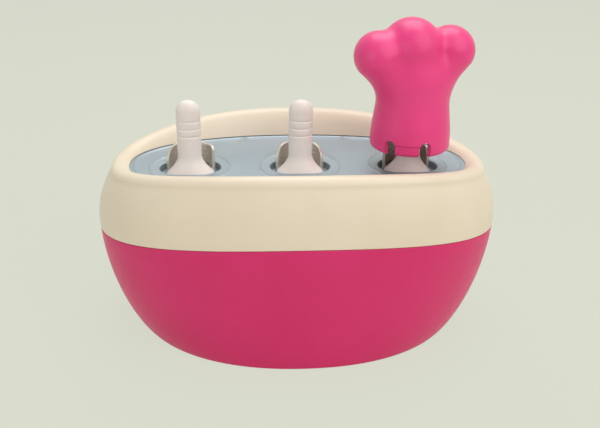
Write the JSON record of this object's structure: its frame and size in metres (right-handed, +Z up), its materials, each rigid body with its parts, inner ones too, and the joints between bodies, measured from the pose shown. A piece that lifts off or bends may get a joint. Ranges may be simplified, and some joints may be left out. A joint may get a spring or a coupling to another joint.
{
  "type": "quick ice pop maker",
  "caption": "Oval two-tone tub with an arched rim around a chilled metal tray, with upright sticks in its cups and a lobed removal tool over one of them.",
  "frame": {"origin": "on the table, under the middle of the tub", "axes": "+Z up, +X along the row of cups towards the removal tool, -Y towards the front"},
  "size_m": [0.2498, 0.1598, 0.1933],
  "materials": {
    "pink_plastic": "satin moulded pink plastic",
    "cream_plastic": "satin moulded cream plastic",
    "cast_aluminium": "fine satin coated cast metal, slightly blue",
    "guide_grey": "satin warm grey",
    "white_plastic": "off-white food-safe plastic",
    "tank_plastic": "natural moulded plastic",
    "gasket_rubber": "soft dark rubber",
    "foot_rubber": "matt dark rubber",
    "freezing_gel": "blue freezing gel",
    "insulation_foam": "closed-cell foam",
    "plug_plastic": "dark moulded plastic",
    "screw_steel": "plated steel",
    "sleeve_plastic": "off-white moulded plastic"
  },
  "bodies": {
    "tub": {"lower_shell": "pink_plastic", "base_panel": "pink_plastic", "base_screw_1": "screw_steel", "base_screw_2": "screw_steel", "base_screw_3": "screw_steel", "base_screw_4": "screw_steel", "foot_1": "foot_rubber", "foot_2": "foot_rubber", "foot_3": "foot_rubber", "foot_4": "foot_rubber", "upper_rim": "cream_plastic", "mould_tray": "cast_aluminium", "stick_guide_left": "guide_grey", "stick_guide_centre": "guide_grey", "stick_guide_right": "guide_grey", "coolant_tank": "tank_plastic", "tray_gasket": "gasket_rubber", "coolant_fill": "freezing_gel", "insulation_liner": "insulation_foam", "filler_plug": "plug_plastic", "plug_seal_ring": "gasket_rubber", "tray_screw_1": "screw_steel", "tray_screw_2": "screw_steel", "tray_screw_3": "screw_steel", "tray_screw_4": "screw_steel", "tray_screw_5": "screw_steel", "tray_screw_6": "screw_steel"},
    "left_stick": {"stick_left": "white_plastic"},
    "centre_stick": {"stick_centre": "white_plastic"},
    "right_stick": {"stick_right": "white_plastic"},
    "tool_sleeve": {"tool_thread_sleeve": "sleeve_plastic"},
    "tool": {"tool_grip": "pink_plastic"}
  },
  "joints": [
    {"name": "stick_left_lift", "type": "slide", "parent": "tub", "child": "left_stick", "axis": [0, 0, 1], "range_m": [0, 0.09]},
    {"name": "stick_centre_lift", "type": "slide", "parent": "tub", "child": "centre_stick", "axis": [0, 0, 1], "range_m": [0, 0.09]},
    {"name": "stick_right_lift", "type": "slide", "parent": "tub", "child": "right_stick", "axis": [0, 0, 1], "range_m": [0, 0.09]},
    {"name": "tool_lift", "type": "slide", "parent": "right_stick", "child": "tool_sleeve", "axis": [0, 0, 1], "range_m": [0, 0.05]},
    {"name": "tool_turn", "type": "hinge", "parent": "tool_sleeve", "child": "tool", "pos_m": [0.0674, -0.007, 0.153], "axis": [0, 0, 1], "continuous": true}
  ]
}
